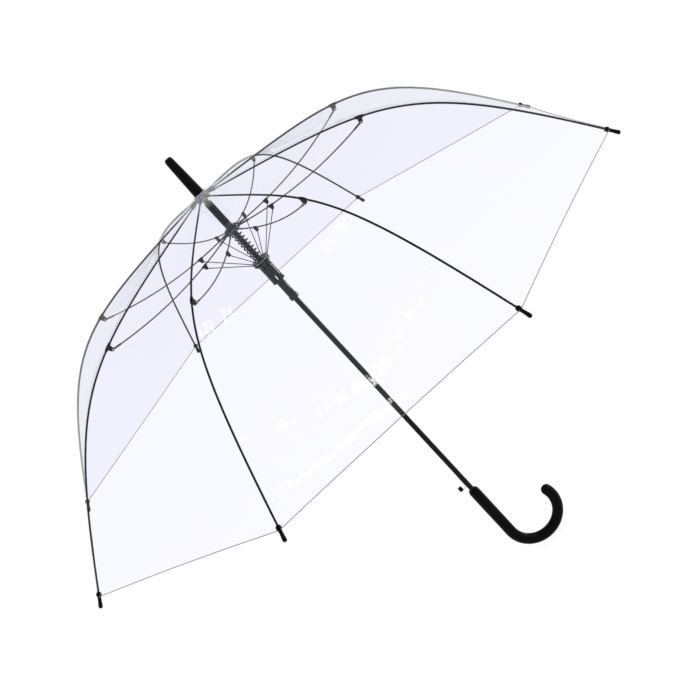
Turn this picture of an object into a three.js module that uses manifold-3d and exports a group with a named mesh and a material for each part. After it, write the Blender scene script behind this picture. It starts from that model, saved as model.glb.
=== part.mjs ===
// Clear automatic umbrella, standing open on its shaft axis. Millimetres, +Z towards the ferrule.
// The origin is on the shaft axis, half way down the straight part of the grip.
import * as THREE from 'three';
import { mergeVertices } from 'three/addons/utils/BufferGeometryUtils.js';
import Module from 'manifold-3d';

const wasm = await Module();
wasm.setup();

// Crown: heights below are measured from the top face of the notch, this far above the origin.
const crownHeight = 668;
const ribCount = 8;
const firstRibAngle = -22.5;

// Rib, drawn in its own upright plane as (distance from the axis, height).
const ribPivot = new THREE.Vector2(8, -3.5);
const ribPull = new THREE.Vector2(296, -47.6);
const ribShoulder = new THREE.Vector2(331.7, -48.9);
const ribEnd = new THREE.Vector2(506.6, -276.8);
const ribRadius = 1.6;
const ribRodStart = 10;
const eyeThickness = 1.7;

// Film, a closed shell over the ribs.
const filmLift = 2.0;
const filmThickness = 0.5;
const hemSetback = 8;
const crownHole = 4.7;
const crownFlat = 11.5;

// Bracket under each rib, and the stretcher that it carries.
const bracketAt = 0.419;
const bracketDrop = 7.5;
const bracketWidth = 6.4;
const bracketSlot = 2.9;
const stretcherRadius = 1.5;
const stretcherBlade = 2.2;
const stretcherSag = 22;
const hubPivot = new THREE.Vector2(10, -68);
const hubPivotGap = 7;

// Link from the stretcher down to the runner.
const lugAt = 0.755;
const lugDrop = 5.2;
const lugWidth = 5.2;
const lugSlot = 2.5;
const linkRadius = 1.1;
const linkEye = 1.8;
const runnerPivot = new THREE.Vector2(12, -129);
const runnerPivotGap = 2.5;

// Shaft, grip and everything that slides on the shaft.
const shaftRadius = 4.1;
const shaftWall = 0.7;
const shaftTop = 38;
const shaftBottom = -668;
const bore = 4.4;
const gripNeck = -620;
const gripBend = -717;
const gripRadius = 8.7;
const hookRadius = 43;
const hookSweep = 196;
const topCatchHeight = -164;
const latchTop = -545;
const latchBottom = -612;

const black = { color: 0x141416, roughness: 0.45, metalness: 0.0 };
const blackSteel = { color: 0x1b1c1f, roughness: 0.38, metalness: 0.6 };
const brightSteel = { color: 0xb9bdc2, roughness: 0.28, metalness: 1.0 };
const clearFilm = { color: 0xe9eaf8, roughness: 0.08, metalness: 0.0, transparent: true, opacity: 0.3 };
const frosted = { color: 0x9aa6c0, roughness: 0.35, metalness: 0.0 };

// A three.js geometry as a manifold, with shared corners and no zero-area triangles.
function toSolid(geometry) {
  const bare = geometry.clone();
  bare.deleteAttribute('normal');
  bare.deleteAttribute('uv');
  const welded = mergeVertices(bare, 1e-4);
  const index = welded.index.array;
  const faces = [];
  for (let i = 0; i < index.length; i += 3) {
    const [a, b, c] = [index[i], index[i + 1], index[i + 2]];
    if (a !== b && b !== c && c !== a) {
      faces.push(a, b, c);
    }
  }
  return new wasm.Manifold(new wasm.Mesh({
    numProp: 3,
    vertProperties: new Float32Array(welded.attributes.position.array),
    triVerts: new Uint32Array(faces),
  }));
}

function toGeometry(solid) {
  const mesh = solid.getMesh();
  const geometry = new THREE.BufferGeometry();
  geometry.setAttribute('position', new THREE.Float32BufferAttribute(mesh.vertProperties, 3));
  geometry.setIndex(Array.from(mesh.triVerts));
  geometry.computeVertexNormals();
  return geometry;
}

// A body turned about the vertical axis from a (radius, height) profile listed anticlockwise.
function turned(profile, sides, startAngle = 0) {
  const points = profile.map(([radius, height]) => new THREE.Vector2(radius, height));
  const geometry = new THREE.LatheGeometry(points, sides, THREE.MathUtils.degToRad(startAngle));
  return toSolid(geometry.rotateX(Math.PI / 2));
}

function closedProfile(profile) {
  return [...profile, profile[0]];
}

function block(low, high) {
  const size = high.map((value, axis) => value - low[axis]);
  const middle = high.map((value, axis) => (value + low[axis]) / 2);
  return toSolid(new THREE.BoxGeometry(...size).translate(...middle));
}

// A round bar across the rib plane, for pins, eyes and the holes for them.
function crossBar(centre, radius, length, sides) {
  const geometry = new THREE.CylinderGeometry(radius, radius, length, sides);
  return toSolid(geometry.translate(centre.x, 0, centre.y));
}

// A flat outline in the rib plane, thickened evenly to both sides of it.
function plate(outline, thickness) {
  const shape = new THREE.Shape(outline);
  const geometry = new THREE.ExtrudeGeometry(shape, { depth: thickness, bevelEnabled: false });
  return toSolid(geometry.rotateX(Math.PI / 2).translate(0, thickness / 2, 0));
}

// A flat strip in the rib plane from one point to another.
function strip(from, to, height, thickness) {
  const across = to.clone().sub(from).normalize().rotateAround(new THREE.Vector2(), Math.PI / 2);
  across.multiplyScalar(height / 2);
  const outline = [
    from.clone().sub(across),
    to.clone().sub(across),
    to.clone().add(across),
    from.clone().add(across),
  ];
  return plate(outline, thickness);
}

// A rod of constant round section along points of the rib plane.
function rod(points, radius, sides, steps) {
  const path = new THREE.CatmullRomCurve3(points.map((p) => new THREE.Vector3(p.x, 0, p.y)));
  const section = [];
  for (let i = 0; i < sides; i += 1) {
    const angle = (i / sides) * 2 * Math.PI;
    section.push(new THREE.Vector2(radius * Math.cos(angle), radius * Math.sin(angle)));
  }
  const options = { steps, extrudePath: path, bevelEnabled: false };
  return toSolid(new THREE.ExtrudeGeometry(new THREE.Shape(section), options));
}

function normalAt(curve, share) {
  return curve.getTangentAt(share).rotateAround(new THREE.Vector2(), Math.PI / 2);
}

function along(from, to, distance) {
  return to.clone().sub(from).setLength(distance).add(from);
}

const ribCurve = new THREE.CubicBezierCurve(ribPivot, ribPull, ribShoulder, ribEnd);
const ribLength = ribCurve.getLength();

function ribPoint(share, lift) {
  return ribCurve.getPointAt(share).add(normalAt(ribCurve, share).multiplyScalar(lift));
}

// Stretcher centreline: from the bracket pin, sagging a little, to the middle hub.
const bracketPin = ribPoint(bracketAt, -bracketDrop);
const stretcherMiddle = bracketPin.clone().lerp(hubPivot, 0.5);
const stretcherPull = stretcherMiddle.clone().sub(new THREE.Vector2(0, stretcherSag));
const stretcherCurve = new THREE.QuadraticBezierCurve(bracketPin, stretcherPull, hubPivot);
const lugPin = stretcherCurve.getPointAt(lugAt)
  .sub(normalAt(stretcherCurve, lugAt).multiplyScalar(-lugDrop));

function makeRib() {
  const points = ribCurve.getSpacedPoints(60).slice(1);
  const bar = rod(points, ribRadius, 6, 20);
  const neck = strip(ribPivot, ribPoint(14 / ribLength, 0), 3, eyeThickness);
  const eye = crossBar(ribPivot, 2.1, eyeThickness, 10);
  const hole = crossBar(ribPivot, 1.0, 4, 8);
  return bar.add(neck).add(eye).subtract(hole);
}

function makeTip() {
  const hole = 2.0;
  const profile = [
    [0, 0.8],
    [hole, 0.8],
    [hole, -7.2],
    [2.9, -7.2],
    [3.1, 2],
    [4.2, 5],
    [4.3, 10.5],
    [2.8, 14],
    [0, 15],
  ];
  return turned(profile, 10);
}

// The bracket in its own frame: x along the rib, y up from the rib.
function makeBracket() {
  const outline = [
    [-10, -2.8],
    [-6, -4],
    [-3.8, -9.4],
    [-1.6, -11],
    [1.6, -11],
    [3.8, -9.4],
    [6, -4],
    [10, -2.8],
    [10, 1],
    [-10, 1],
  ].map(([x, y]) => new THREE.Vector2(x, y));
  const pin = new THREE.Vector2(0, -bracketDrop);
  const groove = new THREE.CylinderGeometry(2.1, 2.1, 24, 10).rotateZ(Math.PI / 2);
  const slot = block([-12, -bracketSlot / 2, -13], [12, bracketSlot / 2, -3.3]);
  return plate(outline, bracketWidth)
    .subtract(toSolid(groove))
    .subtract(slot)
    .add(crossBar(pin, 1.1, bracketWidth, 8));
}

function makeStretcher() {
  const length = stretcherCurve.getLength();
  const outerEnd = 13 / length;
  const innerEnd = 1 - 19 / length;
  const points = [];
  for (let i = 0; i <= 24; i += 1) {
    points.push(stretcherCurve.getPointAt(outerEnd + (i / 24) * (innerEnd - outerEnd)));
  }
  const bar = rod(points, stretcherRadius, 6, 8);
  const outerBlade = strip(bracketPin, stretcherCurve.getPointAt(18 / length), 3.2, stretcherBlade);
  const bladeStart = stretcherCurve.getPointAt(1 - 24 / length);
  const bladeEnd = stretcherCurve.getPointAt(1 - hubPivotGap / length);
  const innerBlade = strip(bladeStart, bladeEnd, 3, stretcherBlade);
  const eye = crossBar(bracketPin, 2.7, stretcherBlade, 10);
  const eyeHole = crossBar(bracketPin, 1.5, 6, 8);

  const rodPoint = stretcherCurve.getPointAt(lugAt);
  const down = lugPin.clone().sub(rodPoint).normalize();
  const side = new THREE.Vector2(-down.y, down.x);
  const lugOutline = [[-5, 0], [5, 0], [2.8, lugDrop + 1], [0, lugDrop + 2.9], [-2.8, lugDrop + 1]]
    .map(([across, drop]) => rodPoint.clone().addScaledVector(side, across).addScaledVector(down, drop));
  const slotTop = rodPoint.clone().addScaledVector(down, 2);
  const slotEnd = rodPoint.clone().addScaledVector(down, lugDrop + 6);
  const lug = plate(lugOutline.reverse(), lugWidth)
    .subtract(strip(slotTop, slotEnd, 16, lugSlot))
    .add(crossBar(lugPin, 0.9, lugWidth, 6));
  return bar.add(outerBlade).add(innerBlade).add(eye).subtract(eyeHole).add(lug);
}

function makeLink() {
  const end = along(runnerPivot, lugPin, runnerPivotGap);
  const start = along(lugPin, runnerPivot, 5);
  const eye = crossBar(lugPin, 2.3, linkEye, 10);
  const neck = strip(lugPin, along(lugPin, runnerPivot, 7), 2.4, linkEye);
  const hole = crossBar(lugPin, 1.35, 4, 8);
  return rod([start, start.clone().lerp(end, 0.5), end], linkRadius, 6, 2)
    .add(neck)
    .add(eye)
    .subtract(hole);
}

// Eight radial slots cut from a turned hub, one for each rib.
function withSlots(solid, floor, reach, width, low, high) {
  let cut = solid;
  for (let i = 0; i < ribCount; i += 1) {
    const angle = firstRibAngle - i * (360 / ribCount);
    const tool = block([floor, -width / 2, low], [reach, width / 2, high]).rotate([0, 0, angle]);
    cut = cut.subtract(tool);
  }
  return cut;
}

function makeNotch() {
  const profile = closedProfile([
    [bore, -9],
    [10.4, -9],
    [10.4, -4.6],
    [7, -4.6],
    [7, -2.4],
    [10.4, -2.4],
    [10.4, 0],
    [bore, 0],
  ]);
  return withSlots(turned(profile, 24), 5.5, 12, 2.4, -9.5, -0.9);
}

function makeHub() {
  const profile = closedProfile([
    [bore, -71.5],
    [12, -71.5],
    [12, -69.2],
    [9, -69.2],
    [9, -66.8],
    [12, -66.8],
    [12, -64],
    [9.5, -62.5],
    [5.8, -62.5],
    [5.8, -15.3],
    [bore, -15.3],
  ]);
  return withSlots(turned(profile, 24), 6.1, 14, 2.8, -74, -62);
}

function makeRunner() {
  const profile = closedProfile([
    [bore, -205],
    [7.4, -205],
    [7.4, -199],
    [6.2, -197.5],
    [6.2, -170],
    [10.6, -168.5],
    [9.8, -162.5],
    [9.8, -137],
    [13.8, -133],
    [13.8, -130.2],
    [11, -130.2],
    [11, -127.8],
    [13.8, -127.8],
    [13.8, -126],
    [bore, -126],
  ]);
  const slotted = withSlots(turned(profile, 24), 5.0, 16, 2.8, -143, -125);
  const window = block([-2.2, -12, topCatchHeight - 6], [2.2, -3, topCatchHeight + 6]);
  return slotted.subtract(window);
}

function makeShaft() {
  const inner = shaftRadius - shaftWall;
  const profile = closedProfile([
    [inner, shaftBottom],
    [shaftRadius, shaftBottom],
    [shaftRadius, shaftTop],
    [inner, shaftTop],
  ]);
  const catchSlot = block([-1.4, -6, topCatchHeight - 5.4], [1.4, 0, topCatchHeight + 5.4]);
  const latchSlot = block([-6, -1.4, latchBottom - 0.4], [0, 1.4, latchTop + 0.4]);
  return turned(profile, 20).subtract(catchSlot).subtract(latchSlot);
}

function makeTopCatch() {
  return block([-1.1, -4.0, topCatchHeight - 5], [1.1, -2.6, topCatchHeight + 5]);
}

// The hand latch: a long blade in the shaft's side, with an arm out to the button.
function makeHandLatch() {
  const blade = block([-4.0, -1.1, latchBottom], [-2.7, 1.1, latchTop]);
  const leaf = block([-5.4, -1.1, latchBottom + 1], [-3.5, 1.1, latchBottom + 24]);
  const arm = block([-14.4, -1.1, latchBottom + 1], [-4.5, 1.1, latchBottom + 2.2]);
  return blade.add(leaf).add(arm);
}

function makeLatchButton() {
  const low = latchBottom - 1.2;
  const face = new THREE.Shape([
    new THREE.Vector2(-2.4, 0),
    new THREE.Vector2(2.4, 0),
    new THREE.Vector2(2.4, 5.2),
    new THREE.Vector2(-2.4, 5.2),
  ]);
  const bevel = { depth: 4, bevelThickness: 0.5, bevelSize: 0.5, bevelSegments: 1, steps: 1 };
  const cap = new THREE.ExtrudeGeometry(face, bevel)
    .rotateX(Math.PI / 2)
    .rotateZ(-Math.PI / 2)
    .translate(-12.4, 0, low);
  const pocket = block([-14.7, -1.4, latchBottom + 0.7], [-11, 1.4, latchBottom + 2.5]);
  return toSolid(cap).subtract(pocket);
}

function makeFerrule() {
  const socketRoof = shaftTop + 2;
  return turned([
    [0, socketRoof],
    [4.5, socketRoof],
    [4.5, 3.2],
    [8.2, 3.2],
    [6.5, 62],
    [5.9, 66.5],
    [3.4, 69.5],
    [0, 69.5],
  ], 20);
}

function makeWasher() {
  return turned(closedProfile([[4.5, 1.7], [10.2, 1.7], [10.2, 2.8], [4.5, 2.8]]), 20);
}

function makeWire(radius, height, thickness) {
  return toSolid(new THREE.TorusGeometry(radius, thickness, 5, 28).translate(0, 0, height));
}

function makeGrip() {
  const points = [];
  for (let i = 0; i <= 6; i += 1) {
    points.push(new THREE.Vector2(0, gripNeck + (i / 6) * (gripBend - gripNeck)));
  }
  for (let i = 1; i <= 14; i += 1) {
    const angle = Math.PI + (i / 14) * THREE.MathUtils.degToRad(hookSweep);
    points.push(new THREE.Vector2(
      hookRadius + hookRadius * Math.cos(angle),
      gripBend + hookRadius * Math.sin(angle),
    ));
  }
  const hookEnd = points[points.length - 1];
  const tube = rod(points, gripRadius, 12, 28);
  const endBall = new THREE.SphereGeometry(gripRadius - 0.05, 12, 8)
    .rotateX(Math.PI / 2)
    .translate(hookEnd.x, 0, hookEnd.y);
  const neckRing = turned(closedProfile([
    [gripRadius - 1.2, gripNeck + 0.1],
    [gripRadius + 2, gripNeck - 3.0],
    [gripRadius + 2, gripNeck + 2],
    [gripRadius - 1.2, gripNeck + 2],
  ]), 12);
  const socket = new THREE.CylinderGeometry(bore, bore, 60, 16)
    .rotateX(Math.PI / 2)
    .translate(0, 0, shaftBottom - 1 + 30);
  return tube.add(toSolid(endBall)).subtract(neckRing).subtract(toSolid(socket));
}

// A coil spring around the shaft, between the middle hub and the runner.
function makeSpring() {
  const top = -72.7;
  const bottom = -124.8;
  const turns = 8;
  const stepsPerTurn = 10;
  const points = [];
  for (let i = 0; i <= turns * stepsPerTurn; i += 1) {
    const angle = (i / stepsPerTurn) * 2 * Math.PI;
    const height = top + (i / (turns * stepsPerTurn)) * (bottom - top);
    points.push(new THREE.Vector3(5.5 * Math.cos(angle), 5.5 * Math.sin(angle), height));
  }
  const path = new THREE.CatmullRomCurve3(points);
  const section = [];
  for (let i = 0; i < 4; i += 1) {
    const angle = (i / 4) * 2 * Math.PI;
    section.push(new THREE.Vector2(0.75 * Math.cos(angle), 0.75 * Math.sin(angle)));
  }
  const options = { steps: turns * stepsPerTurn, extrudePath: path, bevelEnabled: false };
  return toSolid(new THREE.ExtrudeGeometry(new THREE.Shape(section), options));
}

// The film as one octagonal shell: its corners run along the ribs, its panels are flat between them.
function makeCanopy() {
  const hemShare = 1 - hemSetback / ribLength;
  const stations = 16;
  const under = [[crownHole, 0.4], [crownFlat, 0.4]];
  const over = [[crownHole, 0.4 + filmThickness], [crownFlat, 0.4 + filmThickness]];
  for (let i = 0; i <= stations; i += 1) {
    const share = 0.08 + (i / stations) * (hemShare - 0.08);
    const low = ribPoint(share, filmLift);
    const high = ribPoint(share, filmLift + filmThickness);
    under.push([low.x, low.y]);
    over.push([high.x, high.y]);
  }
  const profile = closedProfile([...under, ...over.reverse()]);
  return turned(profile, ribCount, firstRibAngle + 90);
}

const umbrella = new THREE.Group();
const crown = new THREE.Group();
crown.position.z = crownHeight;
umbrella.add(crown);

function addPiece(parent, name, geometry, look) {
  const mesh = new THREE.Mesh(geometry, new THREE.MeshStandardMaterial(look));
  mesh.name = name;
  parent.add(mesh);
  return mesh;
}

addPiece(crown, 'shaft_tube', toGeometry(makeShaft()), blackSteel);
addPiece(crown, 'ferrule', toGeometry(makeFerrule()), black);
addPiece(crown, 'crown_washer', toGeometry(makeWasher()), frosted);
addPiece(crown, 'top_notch', toGeometry(makeNotch()), frosted);
addPiece(crown, 'notch_wire', toGeometry(makeWire(ribPivot.x, ribPivot.y, 0.6)), brightSteel);
addPiece(crown, 'middle_hub', toGeometry(makeHub()), black);
addPiece(crown, 'hub_wire', toGeometry(makeWire(hubPivot.x, hubPivot.y, 0.6)), brightSteel);
addPiece(crown, 'opening_spring', toGeometry(makeSpring()), blackSteel);
addPiece(crown, 'runner', toGeometry(makeRunner()), black);
addPiece(crown, 'top_catch', toGeometry(makeTopCatch()), brightSteel);
addPiece(crown, 'hand_latch', toGeometry(makeHandLatch()), brightSteel);
addPiece(crown, 'latch_button', toGeometry(makeLatchButton()), black);
addPiece(crown, 'handle_grip', toGeometry(makeGrip()), black);
addPiece(crown, 'canopy', toGeometry(makeCanopy()), clearFilm);

const ribGeometry = toGeometry(makeRib());
const tipGeometry = toGeometry(makeTip());
const bracketGeometry = toGeometry(makeBracket());
const stretcherGeometry = toGeometry(makeStretcher());
const linkGeometry = toGeometry(makeLink());

for (let i = 0; i < ribCount; i += 1) {
  const number = i + 1;
  const spoke = new THREE.Group();
  spoke.rotation.z = THREE.MathUtils.degToRad(firstRibAngle - i * (360 / ribCount));
  crown.add(spoke);
  addPiece(spoke, `rib_${number}`, ribGeometry, black);
  addPiece(spoke, `stretcher_${number}`, stretcherGeometry, black);
  addPiece(spoke, `link_${number}`, linkGeometry, black);

  const tip = addPiece(spoke, `tip_${number}`, tipGeometry, black);
  const endTangent = ribCurve.getTangentAt(1);
  tip.position.set(ribEnd.x, 0, ribEnd.y);
  tip.rotation.y = Math.atan2(endTangent.x, endTangent.y);

  const bracket = addPiece(spoke, `bracket_${number}`, bracketGeometry, black);
  const seat = ribCurve.getPointAt(bracketAt);
  const seatTangent = ribCurve.getTangentAt(bracketAt);
  bracket.position.set(seat.x, 0, seat.y);
  bracket.rotation.y = Math.atan2(-seatTangent.y, seatTangent.x);
}

export default umbrella;
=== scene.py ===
import math

import bmesh
import bpy
from mathutils import Matrix, Vector
from mathutils.geometry import interpolate_bezier


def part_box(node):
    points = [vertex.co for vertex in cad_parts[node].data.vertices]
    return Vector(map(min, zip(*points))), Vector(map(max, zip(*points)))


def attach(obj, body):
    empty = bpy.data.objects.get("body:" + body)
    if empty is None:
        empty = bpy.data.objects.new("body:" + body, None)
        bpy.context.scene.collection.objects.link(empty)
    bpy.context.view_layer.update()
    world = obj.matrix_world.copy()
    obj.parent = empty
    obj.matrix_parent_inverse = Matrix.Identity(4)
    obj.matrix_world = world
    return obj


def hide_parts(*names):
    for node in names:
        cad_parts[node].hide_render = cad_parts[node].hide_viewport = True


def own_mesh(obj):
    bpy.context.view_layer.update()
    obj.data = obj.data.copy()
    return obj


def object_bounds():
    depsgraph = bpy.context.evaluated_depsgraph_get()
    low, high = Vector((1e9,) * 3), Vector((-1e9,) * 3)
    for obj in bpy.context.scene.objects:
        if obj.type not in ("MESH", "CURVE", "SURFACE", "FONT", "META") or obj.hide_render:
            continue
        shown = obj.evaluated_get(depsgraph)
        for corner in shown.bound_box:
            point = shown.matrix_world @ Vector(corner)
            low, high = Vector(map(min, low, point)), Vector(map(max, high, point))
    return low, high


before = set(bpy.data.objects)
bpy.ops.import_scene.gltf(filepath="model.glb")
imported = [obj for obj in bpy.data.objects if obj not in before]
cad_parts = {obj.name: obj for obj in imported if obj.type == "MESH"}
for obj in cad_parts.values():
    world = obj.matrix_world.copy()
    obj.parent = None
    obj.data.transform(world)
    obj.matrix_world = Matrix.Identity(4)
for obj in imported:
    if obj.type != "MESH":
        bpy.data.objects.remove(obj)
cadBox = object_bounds()
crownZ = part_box("top_notch")[1][2]  # heights below are from the notch's top face, in millimetres
mm = 0.001
ribCount = 8
bay = 360 / ribCount  # degrees from one rib to the next
print("frame loaded")

# shared helpers


def at(radius, height):
    return Vector((radius * mm, 0, crownZ + height * mm))


def ribAngle(i):
    return math.radians(-bay / 2 - bay * i)


def lerp(a, b, share):
    return a + (b - a) * share


def measured(controls, steps=300):
    # a curve as close points, with how far along each one lies
    points = interpolate_bezier(*controls, steps)
    run = [0.0]
    for a, b in zip(points, points[1:]):
        run.append(run[-1] + (b - a).length)
    return points, run


def along(line, distance):
    points, run = line
    i = 1
    while i < len(run) - 1 and run[i] < distance:
        i += 1
    step = run[i] - run[i - 1]
    return lerp(points[i - 1], points[i], (distance - run[i - 1]) / step)


def directionAt(line, distance):
    return (along(line, distance + 0.0005) - along(line, distance - 0.0005)).normalized()


def offAt(line, distance, lift):
    # beside the line in its upright plane, a positive lift being above it
    heading = directionAt(line, distance)
    return along(line, distance) + Vector((-heading.z, 0, heading.x)) * lift


def frameAt(path, i, side):
    heading = (path[min(i + 1, len(path) - 1)] - path[max(i - 1, 0)]).normalized()
    across = (side - heading * side.dot(heading)).normalized()
    turned = Matrix((across, heading.cross(across), heading)).transposed().to_4x4()
    turned.translation = path[i]
    return turned


def sweep(bm, path, radii, sides=12, side=(0, 1, 0), flat=1.0):
    # a round or flattened section carried along a path, radii in metres
    side = Vector(side)
    if not hasattr(radii, "__len__"):
        radii = [radii] * len(path)
    place = frameAt(path, 0, side) @ Matrix.Diagonal((radii[0], radii[0] * flat, 1, 1))
    made = bmesh.ops.create_circle(bm, cap_ends=True, radius=1, segments=sides, matrix=place)
    verts = made["verts"]
    ring = list({e for v in verts for e in v.link_edges})
    for i in range(1, len(path)):
        grown = bmesh.ops.extrude_edge_only(bm, edges=ring)["geom"]
        verts = [g for g in grown if isinstance(g, bmesh.types.BMVert)]
        nextPlace = frameAt(path, i, side) @ Matrix.Diagonal((radii[i], radii[i] * flat, 1, 1))
        bmesh.ops.transform(bm, matrix=nextPlace @ place.inverted(), verts=verts)
        place = nextPlace
        mine = set(verts)
        ring = list({e for v in verts for e in v.link_edges if e.other_vert(v) in mine})
    bmesh.ops.contextual_create(bm, geom=ring)


def turn(bm, profile, steps=48, closed=True):
    # (radius, height) points in millimetres, spun about the shaft's axis
    verts = [bm.verts.new(at(*point)) for point in profile]
    pairs = list(zip(verts, verts[1:])) + ([(verts[-1], verts[0])] if closed else [])
    edges = [bm.edges.new(pair) for pair in pairs]
    bmesh.ops.spin(bm, geom=verts + edges, cent=(0, 0, 0), axis=(0, 0, 1),
                   angle=2 * math.pi, steps=steps, use_merge=True)


def teeth(bm, profile, gap):
    # eight blocks round the shaft, with a slot of gap degrees in front of every rib
    for i in range(ribCount):
        start = Matrix.Rotation(ribAngle(i) + math.radians(gap / 2), 4, "Z")
        verts = [bm.verts.new(start @ at(*point)) for point in profile]
        face = bm.faces.new(verts)
        bmesh.ops.spin(bm, geom=[face], cent=(0, 0, 0), axis=(0, 0, 1),
                       angle=math.radians(bay - gap), steps=6, use_duplicate=False)
    bmesh.ops.holes_fill(bm, edges=bm.edges, sides=0)


rimShare = 0.3  # how much of a pin's smaller half size its rounded rim takes


def disc(bm, centre, radius, width, sides=24, dome=0.0):
    # a round pin or eye across the rib plane, its rims rounded, sizes in millimetres
    half = width / 2
    edge = min(radius, half) * rimShare
    shape = [(0, -half - dome), (radius - edge, -half), (radius, -half + edge),
             (radius, half - edge), (radius - edge, half), (0, half + dome)]
    place = Matrix.Translation(centre) @ Matrix.Rotation(math.radians(90), 4, "X")
    verts = [bm.verts.new(place @ Vector((r * mm, 0, h * mm))) for r, h in shape]
    edges = [bm.edges.new(pair) for pair in zip(verts, verts[1:])]
    bmesh.ops.spin(bm, geom=verts + edges, cent=centre, axis=(0, 1, 0),
                   angle=2 * math.pi, steps=sides, use_merge=True)


def cheeks(bm, outline, inner, outer):
    # two equal plates either side of the rib plane, from one outline
    for sign in (-1, 1):
        verts = [bm.verts.new(point + Vector((0, sign * inner * mm, 0))) for point in outline]
        face = bm.faces.new(verts)
        grown = bmesh.ops.extrude_face_region(bm, geom=[face])["geom"]
        shifted = [g for g in grown if isinstance(g, bmesh.types.BMVert)]
        bmesh.ops.translate(bm, vec=(0, sign * (outer - inner) * mm, 0), verts=shifted)


def finish(bm):
    bmesh.ops.remove_doubles(bm, verts=bm.verts, dist=1e-6)
    bmesh.ops.recalc_face_normals(bm, faces=bm.faces)


def meshOf(name, bm, material, sharp=35):
    mesh = bpy.data.meshes.new(name)
    bm.to_mesh(mesh)
    bm.free()
    mesh.shade_smooth()
    mesh.set_sharp_from_angle(angle=math.radians(sharp))
    mesh.materials.append(material)
    return mesh


def place(name, mesh, body, nodes=(), slot=None):
    piece = bpy.data.objects.new(name, mesh)
    bpy.context.scene.collection.objects.link(piece)
    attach(piece, body)
    if nodes:
        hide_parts(*nodes)
    return piece


def placeRound(name, mesh, body, nodes=(), slot=None):
    # the same piece at all eight ribs
    pieces = []
    for i in range(ribCount):
        copy = mesh.copy()
        copy.name = f"{name}{i + 1}"
        copy.transform(Matrix.Rotation(ribAngle(i), 4, "Z"))
        known = [f"{node}_{i + 1}" for node in nodes]
        pieces.append(place(f"{name}{i + 1}", copy, f"{body}_{i + 1}", known, slot))
    return pieces


# materials

grainDetail = 4
grainDepth = 0.0002  # metres


def principled(name):
    material = bpy.data.materials.new(name)
    material.use_nodes = True
    return material, material.node_tree.nodes, material.node_tree.links


def surface(name, look):
    # one principled finish: fine grain, slow colour drift, uneven gloss and a little bump
    material, nodes, links = principled(name)
    shader = nodes["Principled BSDF"]
    shader.inputs["Metallic"].default_value = look.get("metal", 0.0)
    shader.inputs["IOR"].default_value = look.get("ior", 1.5)
    shader.inputs["Specular IOR Level"].default_value = look.get("shine", 0.5)
    shader.inputs["Coat Weight"].default_value = look.get("coat", 0.0)
    shader.inputs["Coat Roughness"].default_value = look.get("coatRough", 0.1)
    shader.inputs["Transmission Weight"].default_value = look.get("clear", 0.0)
    coords = nodes.new("ShaderNodeTexCoord")
    mapping = nodes.new("ShaderNodeMapping")
    mapping.inputs["Scale"].default_value = look.get("stretch", (1, 1, 1))
    links.new(coords.outputs["Object"], mapping.inputs["Vector"])
    grain = nodes.new("ShaderNodeTexNoise")
    grain.inputs["Scale"].default_value = look["grain"]
    grain.inputs["Detail"].default_value = grainDetail
    links.new(mapping.outputs["Vector"], grain.inputs["Vector"])
    drift = nodes.new("ShaderNodeTexNoise")
    drift.inputs["Scale"].default_value = look.get("drift", 18)
    links.new(coords.outputs["Object"], drift.inputs["Vector"])
    tone = nodes.new("ShaderNodeMix")
    tone.data_type = "RGBA"
    tone.inputs["A"].default_value = (*look["dark"], 1)
    tone.inputs["B"].default_value = (*look["light"], 1)
    links.new(drift.outputs["Fac"], tone.inputs["Factor"])
    links.new(tone.outputs["Result"], shader.inputs["Base Color"])
    gloss = nodes.new("ShaderNodeMapRange")
    gloss.inputs["To Min"].default_value = look["rough"][0]
    gloss.inputs["To Max"].default_value = look["rough"][1]
    links.new(grain.outputs["Fac"], gloss.inputs["Value"])
    links.new(gloss.outputs["Result"], shader.inputs["Roughness"])
    bump = nodes.new("ShaderNodeBump")
    bump.inputs["Strength"].default_value = look["bump"]
    bump.inputs["Distance"].default_value = grainDepth
    links.new(grain.outputs["Fac"], bump.inputs["Height"])
    links.new(bump.outputs["Normal"], shader.inputs["Normal"])
    return material


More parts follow.
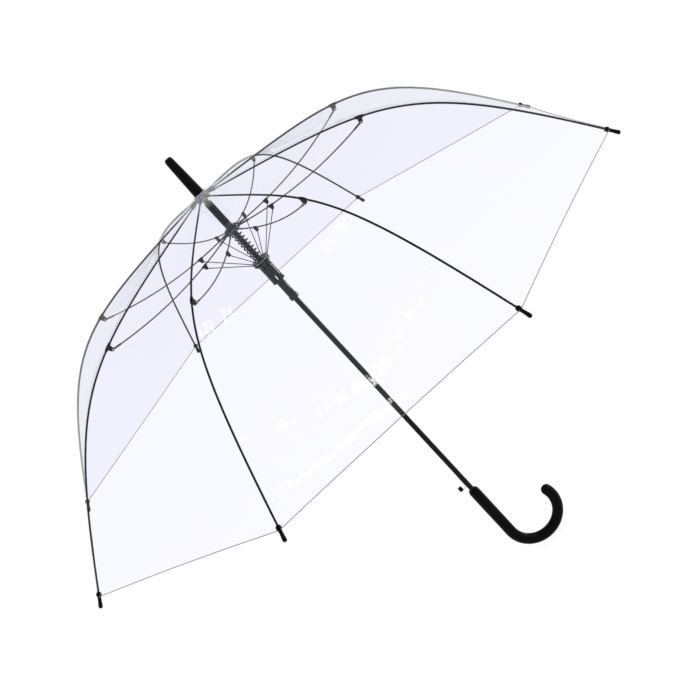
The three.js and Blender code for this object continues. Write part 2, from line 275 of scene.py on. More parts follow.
finishes = {
    "mouldedBlack": {"dark": (0.0008, 0.0008, 0.001), "light": (0.002, 0.002, 0.0025), "shine": 0.05,
                     "rough": (0.22, 0.34), "grain": 900, "bump": 0.05},
    "runnerBlack": {"dark": (0.002, 0.006, 0.008), "light": (0.006, 0.014, 0.018), "shine": 0.2,
                    "rough": (0.07, 0.13), "grain": 900, "bump": 0.05},
    "gripBlack": {"dark": (0.0008, 0.0008, 0.001), "light": (0.002, 0.002, 0.0025), "shine": 0.05,
                  "rough": (0.26, 0.38), "grain": 1400, "bump": 0.12, "drift": 30},
    "shaftCoat": {"dark": (0.002, 0.003, 0.004), "light": (0.004, 0.006, 0.008), "shine": 0.10,
                  "rough": (0.20, 0.30), "grain": 700, "bump": 0.06, "stretch": (1, 1, 0.03)},
    "fibreRod": {"dark": (0.001, 0.001, 0.0012), "light": (0.003, 0.003, 0.0035), "shine": 0.04,
                 "rough": (0.38, 0.55), "grain": 1800, "bump": 0.2, "drift": 60},
    "armRod": {"dark": (0.014, 0.016, 0.020), "light": (0.034, 0.037, 0.044), "shine": 0.3,
               "rough": (0.34, 0.5), "grain": 1800, "bump": 0.15, "drift": 60},
    "frostedPlastic": {"dark": (0.13, 0.17, 0.30), "light": (0.26, 0.32, 0.48), "clear": 0.25,
                       "rough": (0.26, 0.40), "grain": 500, "bump": 0.08, "drift": 120},
    "clearPlastic": {"dark": (0.62, 0.65, 0.76), "light": (0.78, 0.80, 0.88), "clear": 0.55,
                     "rough": (0.2, 0.32), "grain": 500, "bump": 0.06, "drift": 120},
    "platedWire": {"dark": (0.55, 0.56, 0.58), "light": (0.72, 0.73, 0.75), "metal": 1.0,
                   "rough": (0.16, 0.28), "grain": 1500, "bump": 0.08},
    "latchSteel": {"dark": (0.60, 0.61, 0.63), "light": (0.78, 0.79, 0.81), "metal": 1.0,
                   "rough": (0.18, 0.34), "grain": 1200, "bump": 0.15, "stretch": (1, 1, 0.08)},
    "springWire": {"dark": (0.010, 0.016, 0.020), "light": (0.030, 0.038, 0.044), "metal": 0.5,
                   "rough": (0.24, 0.38), "grain": 1600, "bump": 0.12},
    "rivetSteel": {"dark": (0.25, 0.25, 0.27), "light": (0.42, 0.42, 0.44), "metal": 1.0,
                   "rough": (0.24, 0.38), "grain": 1500, "bump": 0.1},
}
looks = {name: surface(name, look) for name, look in finishes.items()}

film = {
    "tint": (0.933, 0.935, 0.993), "haze": 0.014, "weldHaze": 0.0, "hazeColour": (0.97, 0.975, 1.0),
    "hazeRough": 0.5, "glossFacing": 0.016, "glossGrazing": 0.55, "glossPower": 5, "rough": 0.03,
    "seamHalf": 0.0042, "seamFade": 0.0006, "wrinkleDetail": 3,
    "wrinkles": (34, 8, 1), "wrinkleDepth": 0.0011, "gatherHaze": 0.24, "gather": (0.022, 0.060),
}


def filmMaterial(name, tint, haze, weldHaze):
    # clear vinyl: tinted see-through sheet, a breath of haze, and gloss that grows at the edges
    material, nodes, links = principled(name)
    body = nodes["Principled BSDF"]
    body.inputs["Base Color"].default_value = (*film["hazeColour"], 1)
    body.inputs["Roughness"].default_value = film["hazeRough"]
    clear = nodes.new("ShaderNodeBsdfTransparent")
    clear.inputs["Color"].default_value = (*tint, 1)
    gloss = nodes.new("ShaderNodeBsdfGlossy")
    gloss.inputs["Roughness"].default_value = film["rough"]
    coords = nodes.new("ShaderNodeTexCoord")
    lengthways = nodes.new("ShaderNodeMapping")  # wrinkles run along the ribs
    lengthways.inputs["Scale"].default_value = film["wrinkles"]
    links.new(coords.outputs["UV"], lengthways.inputs["Vector"])
    ripple = nodes.new("ShaderNodeTexNoise")
    ripple.inputs["Scale"].default_value = 1
    ripple.inputs["Detail"].default_value = film["wrinkleDetail"]
    links.new(lengthways.outputs["Vector"], ripple.inputs["Vector"])
    bump = nodes.new("ShaderNodeBump")
    bump.inputs["Strength"].default_value = 1
    bump.inputs["Distance"].default_value = film["wrinkleDepth"]
    links.new(ripple.outputs["Fac"], bump.inputs["Height"])
    links.new(bump.outputs["Normal"], gloss.inputs["Normal"])
    split = nodes.new("ShaderNodeSeparateXYZ")
    links.new(coords.outputs["UV"], split.inputs["Vector"])
    away = nodes.new("ShaderNodeMath")
    away.operation = "ABSOLUTE"
    links.new(split.outputs["X"], away.inputs[0])
    weld = nodes.new("ShaderNodeMapRange")  # clearer where the film lies tight against its rib
    weld.inputs["From Min"].default_value = film["seamHalf"]
    weld.inputs["From Max"].default_value = film["seamHalf"] + film["seamFade"]
    weld.inputs["To Min"].default_value = weldHaze
    weld.inputs["To Max"].default_value = haze
    links.new(away.outputs["Value"], weld.inputs["Value"])
    gather = nodes.new("ShaderNodeMapRange")  # milky where the film is gathered round the crown
    gather.interpolation_type = "SMOOTHSTEP"
    gather.inputs["From Min"].default_value, gather.inputs["From Max"].default_value = film["gather"]
    gather.inputs["To Min"].default_value = film["gatherHaze"]
    gather.inputs["To Max"].default_value = 0
    links.new(split.outputs["Y"], gather.inputs["Value"])
    milk = nodes.new("ShaderNodeMath")
    milk.operation = "MAXIMUM"
    links.new(weld.outputs["Result"], milk.inputs[0])
    links.new(gather.outputs["Result"], milk.inputs[1])
    hazy = nodes.new("ShaderNodeMixShader")
    links.new(milk.outputs["Value"], hazy.inputs["Fac"])
    links.new(clear.outputs["BSDF"], hazy.inputs[1])
    links.new(body.outputs["BSDF"], hazy.inputs[2])
    facing = nodes.new("ShaderNodeLayerWeight")
    grazing = nodes.new("ShaderNodeMath")
    grazing.operation = "POWER"
    grazing.inputs[1].default_value = film["glossPower"]
    links.new(facing.outputs["Facing"], grazing.inputs[0])
    share = nodes.new("ShaderNodeMapRange")
    share.inputs["To Min"].default_value = film["glossFacing"]
    share.inputs["To Max"].default_value = film["glossGrazing"]
    links.new(grazing.outputs["Value"], share.inputs["Value"])
    glossy = nodes.new("ShaderNodeMixShader")
    links.new(share.outputs["Result"], glossy.inputs["Fac"])
    links.new(hazy.outputs["Shader"], glossy.inputs[1])
    links.new(gloss.outputs["BSDF"], glossy.inputs[2])
    links.new(glossy.outputs["Shader"], nodes["Material Output"].inputs["Surface"])
    return material


looks["clearFilm"] = filmMaterial("clearFilm", film["tint"], film["haze"], film["weldHaze"])
print("materials made")

# ribs, tips and brackets

rib = {
    "pivot": (8, -3.5), "pull": (296, -47.6), "shoulder": (331.7, -48.9), "end": (506.6, -276.8),
    "radius": (1.15, 1.45), "thickBy": 0.42, "rodStart": 10, "steps": 44, "eye": 2.3, "blade": 1.7,
    "neck": [(0.5, 0.9), (4, 0.9), (8, 0.9), (12, 1.2), (15, 1.4)], "neckFlat": 1.7,
    "bracketAt": 0.419, "bracketDrop": 7.5,
}
ribLine = measured([at(*rib[key]) for key in ("pivot", "pull", "shoulder", "end")])
ribLength = ribLine[1][-1]

bm = bmesh.new()
ribSteps = range(rib["steps"] + 1)
path = [along(ribLine, lerp(rib["rodStart"] * mm, ribLength, i / rib["steps"])) for i in ribSteps]
thin, thick = rib["radius"]
sweep(bm, path, [lerp(thin, thick, min(1, i / (rib["thickBy"] * rib["steps"]))) * mm for i in ribSteps], 10)
sweep(bm, [along(ribLine, d * mm) for d, r in rib["neck"]], [r * mm for d, r in rib["neck"]], 10,
      flat=rib["neckFlat"])
disc(bm, ribLine[0][0], rib["eye"], rib["blade"])
finish(bm)
placeRound("ribRod", meshOf("ribRod", bm, looks["fibreRod"]), "rib_arm", ["rib"], "rib_fibre")

tip = {  # (distance past the rib's end, radius), in millimetres
    "profile": [(-7.6, 1.9), (-7.2, 2.6), (-6.2, 3.3), (-4.8, 3.75), (-3.2, 3.8), (-1.8, 3.4), (-0.8, 2.8),
                (0.2, 2.55), (3, 2.5), (7, 2.65), (10.5, 2.95), (12.6, 3.0), (14, 2.5), (14.8, 1.5),
                (15.1, 0.3)],
}
tipHeading = directionAt(ribLine, ribLength - 0.001)
bm = bmesh.new()
sweep(bm, [ribLine[0][-1] + tipHeading * d * mm for d, r in tip["profile"]],
      [r * mm for d, r in tip["profile"]], 20)
finish(bm)
placeRound("ribCap", meshOf("ribCap", bm, looks["mouldedBlack"]), "rib_arm", ["tip"], "black_plastic")

bracket = {
    "sleeve": [(-7, 1.6), (-6.6, 2.0), (-5, 2.2), (-2, 2.35), (2, 2.35), (5, 2.2), (6.6, 2.0), (7, 1.6)],
    "cheek": [(-3.6, -1.2), (-3.2, -4), (-2.6, -7.8), (-1.4, -9.6),
              (1.4, -9.6), (2.6, -7.8), (3.2, -4), (3.6, -1.2)],
    "inner": 1.4, "outer": 2.3, "sleeveFlat": 0.96, "rounding": 0.35,
    "rivetHead": 1.5, "rivetPast": 0.9, "rivetDome": 0.35,
}
seat = rib["bracketAt"] * ribLength
bracketPin = offAt(ribLine, seat, -rib["bracketDrop"] * mm)
seatHeading = directionAt(ribLine, seat)
seatUp = Vector((-seatHeading.z, 0, seatHeading.x))
bm = bmesh.new()
sweep(bm, [along(ribLine, seat + d * mm) for d, r in bracket["sleeve"]],
      [r * mm for d, r in bracket["sleeve"]], 16, flat=bracket["sleeveFlat"])
cheeks(bm, [along(ribLine, seat) + seatHeading * x * mm + seatUp * y * mm for x, y in bracket["cheek"]],
       bracket["inner"], bracket["outer"])
finish(bm)
clips = placeRound("ribBracket", meshOf("ribBracket", bm, looks["mouldedBlack"]),
                   "rib_arm", ["bracket"], "black_plastic")
for clip in clips:
    rounding = clip.modifiers.new("rounding", "BEVEL")
    rounding.width = bracket["rounding"] * mm
    rounding.segments = 2
    rounding.angle_limit = math.radians(40)
bm = bmesh.new()
disc(bm, bracketPin, bracket["rivetHead"], 2 * bracket["outer"] + bracket["rivetPast"], 16,
     dome=bracket["rivetDome"])
finish(bm)
placeRound("bracketRivet", meshOf("bracketRivet", bm, looks["rivetSteel"]), "rib_arm", slot="latch_steel")
print("ribs, caps and brackets made")

# stretchers and links

stretcher = {
    "hub": (10, -68), "sag": 22, "radius": 1.0, "rodEnds": (9, 12), "steps": 26,
    "blade": 2.0, "bladeRuns": (15, 20), "bladeFlat": 1.45, "eye": 1.9, "hubEye": 1.8, "hubBlade": 1.8,
    "lugAt": 0.755, "lugDrop": 5.2,
}
hubPivot = at(*stretcher["hub"])
pull = lerp(bracketPin, hubPivot, 0.5) - Vector((0, 0, stretcher["sag"] * mm))
stretcherLine = measured([bracketPin, lerp(bracketPin, pull, 2 / 3), lerp(hubPivot, pull, 2 / 3), hubPivot])
stretcherLength = stretcherLine[1][-1]
bm = bmesh.new()
nearEnd, farEnd = (end * mm for end in stretcher["rodEnds"])
path = [along(stretcherLine, lerp(nearEnd, stretcherLength - farEnd, i / stretcher["steps"]))
        for i in range(stretcher["steps"] + 1)]
sweep(bm, path, stretcher["radius"] * mm, 10)
nearRun, farRun = stretcher["bladeRuns"]
for start, stop in ((0, nearRun), (stretcherLength / mm - farRun, stretcherLength / mm)):
    blade = [along(stretcherLine, lerp(start, stop, i / 4) * mm) for i in range(5)]
    sweep(bm, blade, stretcher["blade"] / 2 * mm, 12, flat=stretcher["bladeFlat"])
disc(bm, bracketPin, stretcher["eye"], stretcher["blade"])
disc(bm, hubPivot, stretcher["hubEye"], stretcher["hubBlade"])
finish(bm)
placeRound("stretcherRod", meshOf("stretcherRod", bm, looks["armRod"]),
           "stretcher_arm", ["stretcher"], "stretcher_fibre")

lugDistance = stretcher["lugAt"] * stretcherLength
lugHeading = directionAt(stretcherLine, lugDistance)
lugDown = Vector((lugHeading.z, 0, -lugHeading.x))
if lugDown.z > 0:
    lugDown = -lugDown
rodPoint = along(stretcherLine, lugDistance)
lugPin = rodPoint + lugDown * stretcher["lugDrop"] * mm
lug = {
    "sleeve": [(-4.6, 1.3), (-4.2, 1.6), (-2, 1.8), (2, 1.8), (4.2, 1.6), (4.6, 1.3)],
    "cheek": [(-3, 1), (-2.7, 2.4), (-1.9, 5.6), (0, 6.9), (1.9, 5.6), (2.7, 2.4), (3, 1)],
    "inner": 1.1, "outer": 1.9, "pinHead": 1.2, "pinPast": 0.7, "pinDome": 0.3,
}
bm = bmesh.new()
sweep(bm, [along(stretcherLine, lugDistance + d * mm) for d, r in lug["sleeve"]],
      [r * mm for d, r in lug["sleeve"]], 14)
cheeks(bm, [rodPoint + lugHeading * x * mm + lugDown * y * mm for x, y in lug["cheek"]],
       lug["inner"], lug["outer"])
disc(bm, lugPin, lug["pinHead"], 2 * lug["outer"] + lug["pinPast"], 14, dome=lug["pinDome"])
finish(bm)
placeRound("stretcherLug", meshOf("stretcherLug", bm, looks["mouldedBlack"]), "stretcher_arm",
           slot="black_plastic")

link = {"runner": (12, -129), "radius": 0.65, "steps": 12, "swell": 1.12,
        "eye": 1.7, "runnerEye": 1.5, "width": 1.7}
runnerPivot = at(*link["runner"])
bm = bmesh.new()
linkSteps = range(link["steps"] + 1)
sweep(bm, [lerp(lugPin, runnerPivot, i / link["steps"]) for i in linkSteps],
      [link["radius"] * mm * (1.0 if 1 < i < link["steps"] - 1 else link["swell"]) for i in linkSteps], 10)
disc(bm, lugPin, link["eye"], link["width"], 16)
disc(bm, runnerPivot, link["runnerEye"], link["width"], 16)
finish(bm)
placeRound("linkRod", meshOf("linkRod", bm, looks["armRod"]), "link_arm", ["link"], "link_fibre")
print("stretchers and links made")

# shaft, ferrule, hubs and runner

turnedPieces = {
    "shaftTube": {
        "look": "shaftCoat", "body": "umbrella_frame", "nodes": ["shaft_tube"], "slot": "shaft_steel",
        "profile": [(3.4, -668), (3.8, -668), (4.1, -667.6), (4.1, 37.6), (3.8, 38), (3.4, 38)],
    },
    "ferruleCap": {
        "look": "mouldedBlack", "body": "umbrella_frame", "nodes": ["ferrule"], "slot": "black_plastic",
        "closed": False,
        "profile": [(0, 39), (4.5, 38.5), (4.5, 3.2), (7.9, 3.2), (8.2, 3.5), (8.18, 5.2), (7.75, 5.7),
                    (7.7, 6.6), (8.1, 7.1), (7.2, 40), (6.5, 62), (6.35, 64.4),
                    (5.7, 67.2), (4.9, 68.7), (3.4, 69.3), (0, 69.5)],
    },
    "crownWasher": {
        "look": "clearPlastic", "body": "umbrella_frame", "nodes": ["crown_washer"],
        "slot": "frosted_plastic",
        "profile": [(4.5, 1.3), (10.2, 1.3), (10.5, 1.6), (10.2, 2.2), (9, 2.9), (4.5, 2.9)],
    },
}
for name, settings in turnedPieces.items():
    bm = bmesh.new()
    turn(bm, settings["profile"], closed=settings.get("closed", True))
    finish(bm)
    mesh = meshOf(name, bm, looks[settings["look"]])
    place(name, mesh, settings["body"], settings["nodes"], settings["slot"])

notch = {  # a toothed ring under a plain top plate
    "plate": [(4.4, -9), (5.6, -9), (5.6, -1.1), (10.1, -1.1), (10.4, -0.8), (10.4, -0.3), (10.1, 0),
              (4.4, 0)],
    "crown": [(5.5, -9), (10, -9), (10.4, -8.6), (10.4, -4.6), (7, -4.6), (7, -2.4), (10.4, -2.4),
              (10.4, -1), (5.5, -1)],
    "gap": 15,
}
bm = bmesh.new()
turn(bm, notch["plate"])
teeth(bm, notch["crown"], notch["gap"])
finish(bm)
place("crownNotch", meshOf("crownNotch", bm, looks["frostedPlastic"]), "umbrella_frame",
      ["top_notch"], "frosted_plastic")

hub = {
    "sleeve": [(4.4, -71.5), (6.1, -71.5), (6.1, -62.3), (5.9, -61.6), (5.8, -60.5), (5.8, -16),
               (5.4, -15.3), (4.4, -15.3)],
    "crown": [(6, -71.5), (11.7, -71.5), (12, -71.2), (12, -69.2), (9, -69.2), (9, -66.8), (12, -66.8),
              (12, -64.3), (9.5, -62.5), (6, -62.5)],
    "gap": 14,
}
bm = bmesh.new()
turn(bm, hub["sleeve"])
teeth(bm, hub["crown"], hub["gap"])
finish(bm)
place("middleHub", meshOf("middleHub", bm, looks["runnerBlack"]), "sliding_hub",
      ["middle_hub"], "black_plastic")

runner = {
    "sleeve": [(4.4, -205), (6.9, -205), (7.4, -204.5), (7.4, -199.4), (6.9, -198.9), (6.2, -197.6),
               (6.2, -171.5), (6.5, -170.6), (10.1, -169.6), (10.6, -168.9), (10.5, -167.8), (9.8, -166.6),
               (9.8, -158), (9.8, -147), (9.8, -143), (5.2, -143), (5.2, -126), (4.4, -126)],
    "crown": [(5.1, -126), (13.4, -126), (13.8, -126.4), (13.8, -127.8), (11, -127.8), (11, -130.2),
              (13.8, -130.2), (13.8, -132.6), (13.2, -133.4), (10.2, -136.6), (9.8, -137.4),
              (9.8, -143.2), (5.1, -143.2)],
    "gap": 12, "windowFront": -9.2, "windowLow": -166.6, "windowHigh": -158, "windowDepth": 5.35,
}
bm = bmesh.new()
turn(bm, runner["sleeve"])
finish(bm)
windowFaces = []  # the faces at the front of the sleeve that sink in as the catch's window
for face in bm.faces:
    middle = face.calc_center_median()
    height = (middle.z - crownZ) / mm
    if middle.y < runner["windowFront"] * mm and runner["windowLow"] < height < runner["windowHigh"]:
        windowFaces.append(face)
grown = bmesh.ops.extrude_face_region(bm, geom=windowFaces)["geom"]
bmesh.ops.translate(bm, vec=(0, runner["windowDepth"] * mm, 0),
                    verts=[g for g in grown if isinstance(g, bmesh.types.BMVert)])
bmesh.ops.delete(bm, geom=[f for f in windowFaces if f.is_valid], context="FACES")
teeth(bm, runner["crown"], runner["gap"])
finish(bm)
place("runnerSleeve", meshOf("runnerSleeve", bm, looks["runnerBlack"]), "sliding_runner",
      ["runner"], "black_plastic")

wires = {  # ring radius, height, wire radius, body, nodes
    "notchWire": (8, -3.5, 0.6, "umbrella_frame", ["notch_wire"]),
    "hubWire": (10, -68, 0.6, "sliding_hub", ["hub_wire"]),
    "runnerWire": (12, -129, 0.6, "sliding_runner", []),
}
for name, (radius, height, thick, body, nodes) in wires.items():
    bm = bmesh.new()
    spot = Matrix.Translation(at(radius, height)) @ Matrix.Rotation(math.radians(90), 4, "X")
    ring = bmesh.ops.create_circle(bm, radius=thick * mm, segments=8, matrix=spot)["verts"]
    edges = list({e for v in ring for e in v.link_edges})
    bmesh.ops.spin(bm, geom=ring + edges, cent=(0, 0, 0), axis=(0, 0, 1),
                   angle=2 * math.pi, steps=64, use_merge=True)
    finish(bm)
    place(name, meshOf(name, bm, looks["platedWire"]), body, nodes, "bright_wire")

spring = {"radius": 6.9, "wire": 1.2, "top": -73.1, "bottom": -124.4, "turns": 8, "perTurn": 24}
bm = bmesh.new()
springSteps = spring["turns"] * spring["perTurn"]
ring = bmesh.ops.create_circle(bm, cap_ends=True, radius=spring["wire"] * mm, segments=8,
                               matrix=Matrix.Translation(at(spring["radius"], spring["top"]))
                               @ Matrix.Rotation(math.radians(90), 4, "X"))["verts"]
edges = list({e for v in ring for e in v.link_edges})
drop = (spring["bottom"] - spring["top"]) * mm / springSteps
bmesh.ops.spin(bm, geom=ring + edges, cent=(0, 0, 0), axis=(0, 0, 1), dvec=(0, 0, drop),
               angle=2 * math.pi * spring["turns"], steps=springSteps)
bmesh.ops.holes_fill(bm, edges=bm.edges, sides=0)
finish(bm)
coil = place("openingCoil", meshOf("openingCoil", bm, looks["springWire"]), "sliding_hub",
             ["opening_spring"], "spring_steel")
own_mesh(coil)
print("shaft, hubs and runner made")

# catch, latch and grip

catch = {"width": 2.0, "thick": 0.45, "low": -168.4, "high": -158.6, "face": -7.45,
         "toeOut": 2.2, "toeIn": 0.4, "toeHeight": 1.3, "rounding": 0.15}


def softBlock(bm, low, high, bevel):
    # a block between two corners in millimetres from the crown, its edges rounded
    size = [b - a for a, b in zip(low, high)]
    middle = [(a + b) / 2 for a, b in zip(low, high)]
    spot = Vector((middle[0] * mm, middle[1] * mm, crownZ + middle[2] * mm))
    made = bmesh.ops.create_cube(bm, size=1, matrix=Matrix.Translation(spot)
                                 @ Matrix.Diagonal((size[0] * mm, size[1] * mm, size[2] * mm, 1)))["verts"]
    edges = list({e for v in made for e in v.link_edges})
    bmesh.ops.bevel(bm, geom=edges, offset=bevel * mm, segments=2, profile=0.5, affect="EDGES", material=-1)


bm = bmesh.new()
half = catch["width"] / 2
softBlock(bm, (-half, catch["face"], catch["low"]), (half, catch["face"] + catch["thick"], catch["high"]),
          catch["rounding"])
softBlock(bm, (-half, catch["face"] - catch["toeOut"], catch["low"]),
          (half, catch["face"] + catch["toeIn"], catch["low"] + catch["toeHeight"]), catch["rounding"])
finish(bm)
place("catchTongue", meshOf("catchTongue", bm, looks["latchSteel"]), "open_catch",
      ["top_catch"], "latch_steel")

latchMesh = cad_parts["hand_latch"].data  # the latch keeps its own shape and gets its finish here
latchMesh.materials.clear()
latchMesh.materials.append(looks["latchSteel"])

knob = {"low": (-16.3, -3.0, -610.4), "high": (-9.9, 3.0, -603.4), "rounding": 1.0}
bm = bmesh.new()
softBlock(bm, knob["low"], knob["high"], knob["rounding"])
finish(bm)
place("latchKnob", meshOf("latchKnob", bm, looks["mouldedBlack"]), "latch_lever",
      ["latch_button"], "black_plastic")

grip = {
    "neck": -620, "bend": -717, "radius": 8.7, "hook": 43, "sweep": 196,
    "straightSteps": 8, "hookSteps": 36, "sides": 28,
    "top": [(0, 6.4), (0.5, 7.0), (1.6, 7.7), (3.4, 8.3), (6, 8.6), (10, 8.7)],
    "end": [(0, 8.7), (2.4, 8.35), (4.8, 7.3), (6.6, 5.7), (7.9, 3.6), (8.6, 1.2)],
}
path, radii = [], []
for down, radius in grip["top"]:
    path.append(at(0, grip["neck"] - down))
    radii.append(radius * mm)
topEnd = grip["neck"] - grip["top"][-1][0]
for i in range(1, grip["straightSteps"] + 1):
    path.append(at(0, lerp(topEnd, grip["bend"], i / grip["straightSteps"])))
    radii.append(grip["radius"] * mm)
for i in range(1, grip["hookSteps"] + 1):
    angle = math.pi + math.radians(grip["sweep"]) * i / grip["hookSteps"]
    path.append(at(grip["hook"] * (1 + math.cos(angle)), grip["bend"] + grip["hook"] * math.sin(angle)))
    radii.append(grip["radius"] * mm)
hookHeading = (path[-1] - path[-2]).normalized()
hookEnd = path[-1]
for past, radius in grip["end"][1:]:
    path.append(hookEnd + hookHeading * past * mm)
    radii.append(radius * mm)
bm = bmesh.new()
sweep(bm, path, radii, grip["sides"])
finish(bm)
place("gripHook", meshOf("gripHook", bm, looks["gripBlack"]), "umbrella_frame",
      ["handle_grip"], "black_plastic")
print("catch, latch and grip made")

# film

canopy = {
    "lift": 2.1, "hemSetback": 0.5, "crownStart": (11.5, 0.7), "joinAt": 48, "columns": 20, "rows": 44,
    "crowding": 1.35,  # above 1 puts more columns near the rib
    "sag": 9, "sagEnd": 0.94, "sagRound": 0.8, "sagIn": 0.55, "sagDown": 0.8,
    "hemArc": 3.0, "hemFade": 6, "filmLength": 0.59, "keep": 0.07, "hemRadius": 0.55, "hemSteps": 14,
    "cutSpread": 1.08, "flat": (0.389, 0.588), "area": 0.122,
}
joinPoint = offAt(ribLine, canopy["joinAt"] * mm, canopy["lift"] * mm)
crownStart = at(*canopy["crownStart"])
hemDistance = ribLength - canopy["hemSetback"] * mm
halfChord = math.sin(math.radians(bay)) / 2
inward = (1 - math.cos(math.radians(bay))) / 2


def filmLine(share):
    # the film along a rib, from under the crown washer to the hem
    start = canopy["joinAt"] * mm
    reach = (joinPoint - crownStart).length
    distance = share * (reach + hemDistance - start)
    if distance < reach:
        return lerp(crownStart, joinPoint, distance / reach)
    return offAt(ribLine, distance - reach + start, canopy["lift"] * mm)


def filmPoint(share, across):
    # across runs from -1 to 1 between the middles of the two gores beside the rib
    reach = abs(across)
    easing = reach * (2 - reach)
    hem = canopy["hemArc"] * mm * easing * share ** canopy["hemFade"]  # the hem is cut a little hollow
    point = filmLine(share - hem / canopy["filmLength"])
    sag = canopy["sag"] * mm * easing
    sag *= math.sin(math.pi * min(share, canopy["sagEnd"])) ** canopy["sagRound"]
    out = point.x
    flat = Vector((out * (1 - reach * inward), math.copysign(out * reach * halfChord, across), 0))
    flat -= flat.normalized() * sag * canopy["sagIn"]
    return flat + Vector((0, 0, point.z - sag * canopy["sagDown"]))


def crowded(across):
    return math.copysign(abs(across) ** canopy["crowding"], across)


bm = bmesh.new()
uvName = "cut"
bmesh.ops.create_grid(bm, x_segments=canopy["columns"], y_segments=canopy["rows"], size=0.5)
uv = bm.loops.layers.uv.new(uvName)
spread = {}
for v in bm.verts:
    across, share = crowded(v.co.x * 2), v.co.y + 0.5
    v.co = filmPoint(share, across)
    spread[v.index] = (across * v.co.x * halfChord * canopy["cutSpread"], share * hemDistance)
for face in bm.faces:
    for loop in face.loops:
        loop[uv].uv = spread[loop.vert.index]
bmesh.ops.recalc_face_normals(bm, faces=bm.faces)
if sum((f.normal.z for f in bm.faces)) < 0:
    bmesh.ops.reverse_faces(bm, faces=bm.faces)
gores = placeRound("filmGore", meshOf("filmGore", bm, looks["clearFilm"], 180), "rib_arm", slot="clear_film")

bm = bmesh.new()
hemPath = [filmPoint(1, crowded(i / canopy["hemSteps"] - 1)) for i in range(2 * canopy["hemSteps"] + 1)]
sweep(bm, hemPath, canopy["hemRadius"] * mm, 8, side=(0, 0, 1))
finish(bm)
hemFinish = dict(finishes["frostedPlastic"], dark=(0.12, 0.12, 0.135), light=(0.20, 0.20, 0.22), clear=0.0)
looks["hemWelt"] = surface("hemWelt", hemFinish)
hems = placeRound("hemWelt", meshOf("hemWelt", bm, looks["hemWelt"]), "rib_arm", slot="clear_film")
for i, (gore, hem) in enumerate(zip(gores, hems)):
    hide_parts("canopy")
    for piece in (gore, hem):
        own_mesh(piece)

crownSheet = {"profile": [(4.7, 0.7), (8, 0.7), (12.2, 0.62)], "cutShift": 0.05}
bm = bmesh.new()
turn(bm, crownSheet["profile"], closed=False)
uv = bm.loops.layers.uv.new(uvName)
for face in bm.faces:
    for loop in face.loops:
        loop[uv].uv = (loop.vert.co.x + crownSheet["cutShift"], loop.vert.co.y)
finish(bm)
crownFilm = place("crownFilm", meshOf("crownFilm", bm, looks["clearFilm"], 180), "umbrella_frame",
                  slot="clear_film")
print("film made")

# floor, light and camera

studio = {  # each lamp has its place, its aim, its size and its power
    "floorSize": 60, "floorGlow": 0.885, "floorColour": (0.16, 0.16, 0.16), "floorGap": 0.004,
    "floorRough": 0.9, "world": (1.0, 0.62),
    "lamps": [
        ("keyLamp", (2.6, -1.5, 1.9), (0, 0, 0.35), (0.3, 1.8), 20),
        ("sideLamp", (-2.6, -1.2, 1.6), (0, 0, 0.4), (0.4, 1.6), 8),
        ("topStrip", (-0.25, -0.40, 3.05), (-0.25, 0.2, 0.57), (0.04, 0.30), 1.3),
        ("backStrip", (0.17, 0.06, 3.05), (0.17, -0.5, 0.6), (0.04, 0.40), 1.6),
        ("frontStrip", (-0.16, -2.0, 2.38), (-0.06, -0.45, 0.42), (0.30, 0.045), 1.0),
        ("shaftGlint", (-0.04, -1.72, 2.58), (0, -0.42, 0.46), (0.06, 0.035), 0.3),
        ("lowStrip", (1.40, 0.32, 0.16), (0, 0, 0.5), (0.42, 0.34), 9),
    ],
}
bm = bmesh.new()
bmesh.ops.create_grid(bm, x_segments=4, y_segments=4, size=studio["floorSize"] / 2,
                      matrix=Matrix.Translation((0, 0, cadBox[0][2] - studio["floorGap"])))
floorLook, nodes, links = principled("floorSheet")
floorShader = nodes["Principled BSDF"]
floorShader.inputs["Base Color"].default_value = (*studio["floorColour"], 1)
floorShader.inputs["Roughness"].default_value = studio["floorRough"]
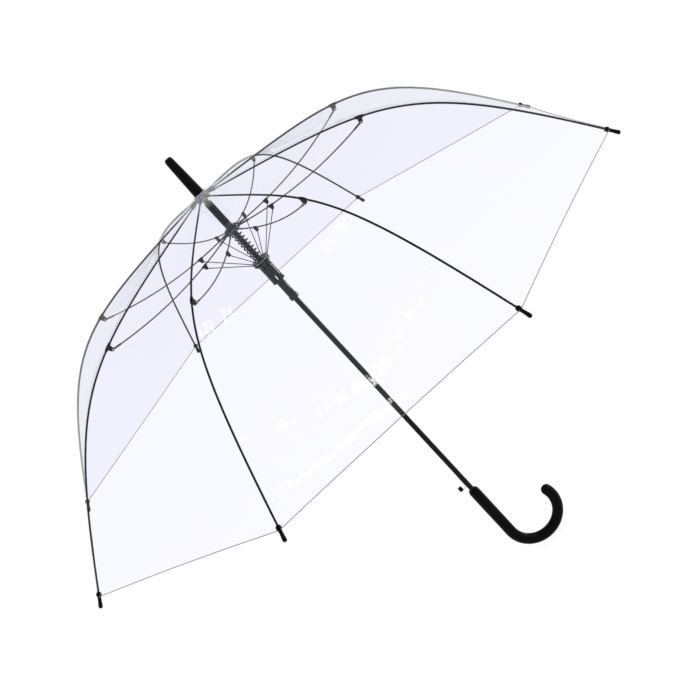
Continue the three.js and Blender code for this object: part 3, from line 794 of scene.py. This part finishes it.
floorShader.inputs["Specular IOR Level"].default_value = 0.0
floorShader.inputs["Emission Color"].default_value = (1, 1, 1, 1)
floorShader.inputs["Emission Strength"].default_value = studio["floorGlow"]
floor = bpy.data.objects.new("floorSheet", meshOf("floorSheet", bm, floorLook))
bpy.context.scene.collection.objects.link(floor)

world = bpy.data.worlds.new("studio")
bpy.context.scene.world = world
world.use_nodes = True
sky, skyLinks = world.node_tree.nodes, world.node_tree.links
skyWay = sky.new("ShaderNodeTexCoord")
skyUp = sky.new("ShaderNodeSeparateXYZ")
skyLinks.new(skyWay.outputs["Generated"], skyUp.inputs["Vector"])
skyTone = sky.new("ShaderNodeMapRange")  # white at the horizon, softer overhead
skyTone.inputs["To Min"].default_value, skyTone.inputs["To Max"].default_value = studio["world"]
skyLinks.new(skyUp.outputs["Z"], skyTone.inputs["Value"])
skyLinks.new(skyTone.outputs["Result"], sky["Background"].inputs["Strength"])
sky["Background"].inputs["Color"].default_value = (1, 1, 1, 1)
for name, spot, aim, size, power in studio["lamps"]:
    lamp = bpy.data.lights.new(name, "AREA")
    lamp.shape = "RECTANGLE"
    lamp.size, lamp.size_y = size
    lamp.energy = power
    holder = bpy.data.objects.new(name, lamp)
    holder.location = spot
    holder.rotation_euler = (Vector(aim) - Vector(spot)).to_track_quat("-Z", "Y").to_euler()
    bpy.context.scene.collection.objects.link(holder)
bpy.context.scene.view_settings.view_transform = "Standard"

view = {"from": (0.034, -2.202, 1.060), "to": (0.0071, -0.0136, 0.3517), "roll": -42.7, "lens": 80.5,
        "sensor": 36}
lens = bpy.data.cameras.new("camera")
lens.lens = view["lens"]
lens.sensor_width = view["sensor"]
camera = bpy.data.objects.new("camera", lens)
aimed = (Vector(view["to"]) - Vector(view["from"])).to_track_quat("-Z", "Y").to_matrix().to_4x4()
camera.matrix_world = (Matrix.Translation(view["from"]) @ aimed
                       @ Matrix.Rotation(math.radians(view["roll"]), 4, "Z"))
bpy.context.scene.collection.objects.link(camera)
bpy.context.scene.camera = camera
print("camera and lights set")
